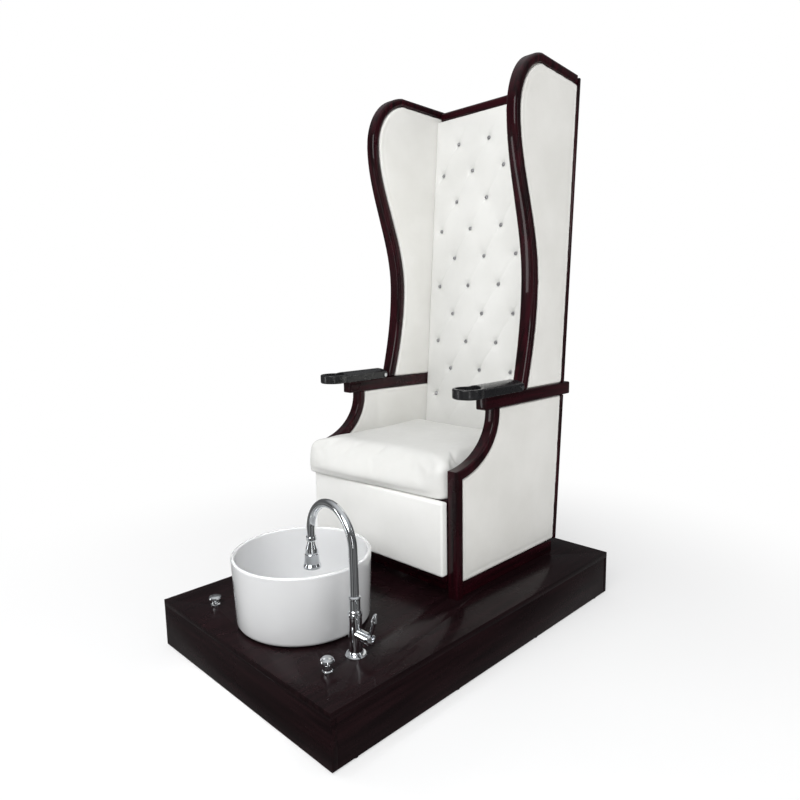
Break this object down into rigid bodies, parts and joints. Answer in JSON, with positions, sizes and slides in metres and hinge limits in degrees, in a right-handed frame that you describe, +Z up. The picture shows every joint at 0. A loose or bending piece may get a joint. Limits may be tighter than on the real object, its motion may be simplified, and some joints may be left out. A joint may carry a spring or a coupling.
{
  "type": "pedicure spa chair",
  "caption": "Tall winged pedicure spa chair on a glossy platform with a round foot basin, a gooseneck spray faucet and flip-up arm trays.",
  "frame": {"origin": "On the floor under the middle of the whole chair's bounding box", "axes": "+X to the right seen from the front, +Y to the back of the chair, +Z up"},
  "size_m": [0.844, 1.274, 1.813],
  "materials": {
    "gloss_lacquer_black": "near-black high-gloss lacquer on board",
    "gloss_mahogany": "very dark mahogany under high-gloss lacquer",
    "pine": "bare softwood and plywood, hidden structure",
    "white_leather": "white faux leather, fine grain, slight sheen",
    "white_ceramic": "white glaze, high gloss",
    "chrome": "polished chrome plating",
    "zinc_steel": "bright zinc-plated steel",
    "brass": "machined brass, unpolished",
    "grey_plastic": "grey moulded plumbing plastic",
    "gloss_black_plastic": "black gloss moulded plastic",
    "black_rubber": "matte black rubber",
    "crystal": "cut clear crystal on a silver back"
  },
  "bodies": {
    "base": {"platform_deck": "gloss_lacquer_black", "platform_front_board": "gloss_lacquer_black", "platform_back_board": "gloss_lacquer_black", "platform_left_board": "gloss_lacquer_black", "platform_right_board": "gloss_lacquer_black", "platform_joists": "pine", "platform_glides": "black_rubber", "hose_grommet": "black_rubber", "basin": "white_ceramic", "basin_gasket": "black_rubber", "drain_flange": "chrome", "drain_locknut": "grey_plastic", "drain_trap": "grey_plastic", "drain_knob_escutcheon": "chrome", "drain_cable": "black_rubber", "air_button_bezel": "chrome", "control_locknuts": "brass", "faucet_flange": "chrome", "faucet_body": "chrome", "faucet_locknut": "brass", "faucet_inlets": "brass", "chair_plinth": "gloss_mahogany", "chair_bolts": "zinc_steel", "right_arm_post": "gloss_mahogany", "left_arm_post": "gloss_mahogany", "right_arm_rail": "gloss_mahogany", "left_arm_rail": "gloss_mahogany", "right_wing_frame": "gloss_mahogany", "left_wing_frame": "gloss_mahogany", "side_core_boards": "pine", "right_outer_arm_panel": "white_leather", "left_outer_arm_panel": "white_leather", "right_outer_wing_panel": "white_leather", "left_outer_wing_panel": "white_leather", "right_inner_arm_panel": "white_leather", "left_inner_arm_panel": "white_leather", "right_inner_wing_panel": "white_leather", "left_inner_wing_panel": "white_leather", "seat_box": "pine", "seat_deck": "pine", "seat_front_panel": "white_leather", "seat_cushion": "white_leather", "back_board": "gloss_mahogany", "back_frame": "pine", "back_pad": "white_leather", "crest_rail": "gloss_mahogany", "tuft_buttons": "crystal", "tray_hinge_lugs": "zinc_steel", "tray_pins": "chrome"},
    "spout": {"faucet_spout": "chrome"},
    "spray": {"spray_head": "chrome", "spray_face": "black_rubber", "spray_hose": "black_rubber"},
    "handle": {"handle_dome": "chrome"},
    "lever": {"handle_lever": "chrome"},
    "drain_pull": {"drain_knob": "chrome"},
    "stopper": {"drain_stopper": "chrome"},
    "bubble_button": {"air_button": "chrome"},
    "tray_right": {"right_tray": "gloss_black_plastic"},
    "tray_left": {"left_tray": "gloss_black_plastic"}
  },
  "joints": [
    {"name": "spout_swivel", "type": "hinge", "parent": "base", "child": "spout", "pos_m": [0.279, -0.433, 0.267], "axis": [0, 0, 1], "range_deg": [-20, 25]},
    {"name": "spray_pull", "type": "slide", "parent": "spout", "child": "spray", "axis": [0, 0, -1], "range_m": [0, 0.03]},
    {"name": "lever_temperature", "type": "hinge", "parent": "base", "child": "handle", "pos_m": [0.325, -0.433, 0.212], "axis": [1, 0, 0], "range_deg": [-40, 40]},
    {"name": "lever_flow", "type": "hinge", "parent": "handle", "child": "lever", "pos_m": [0.335, -0.433, 0.212], "axis": [0, 1, 0], "range_deg": [0, 25]},
    {"name": "drain_knob_lift", "type": "slide", "parent": "base", "child": "drain_pull", "axis": [0, 0, 1], "range_m": [0, 0.02]},
    {"name": "stopper_drop", "type": "slide", "parent": "base", "child": "stopper", "axis": [0, 0, 1], "range_m": [-0.008, 0]},
    {"name": "air_button_press", "type": "slide", "parent": "base", "child": "bubble_button", "axis": [0, 0, -1], "range_m": [0, 0.004], "stiffness_N_per_m": 400},
    {"name": "right_tray_flip", "type": "hinge", "parent": "base", "child": "tray_right", "pos_m": [0.258, 0.28, 0.773], "axis": [-1, 0, 0], "range_deg": [0, 80]},
    {"name": "left_tray_flip", "type": "hinge", "parent": "base", "child": "tray_left", "pos_m": [-0.374, 0.28, 0.773], "axis": [-1, 0, 0], "range_deg": [0, 80]}
  ],
  "couplings": [
    {"joint": "stopper_drop", "follows": "drain_knob_lift", "ratio": -0.4}
  ]
}
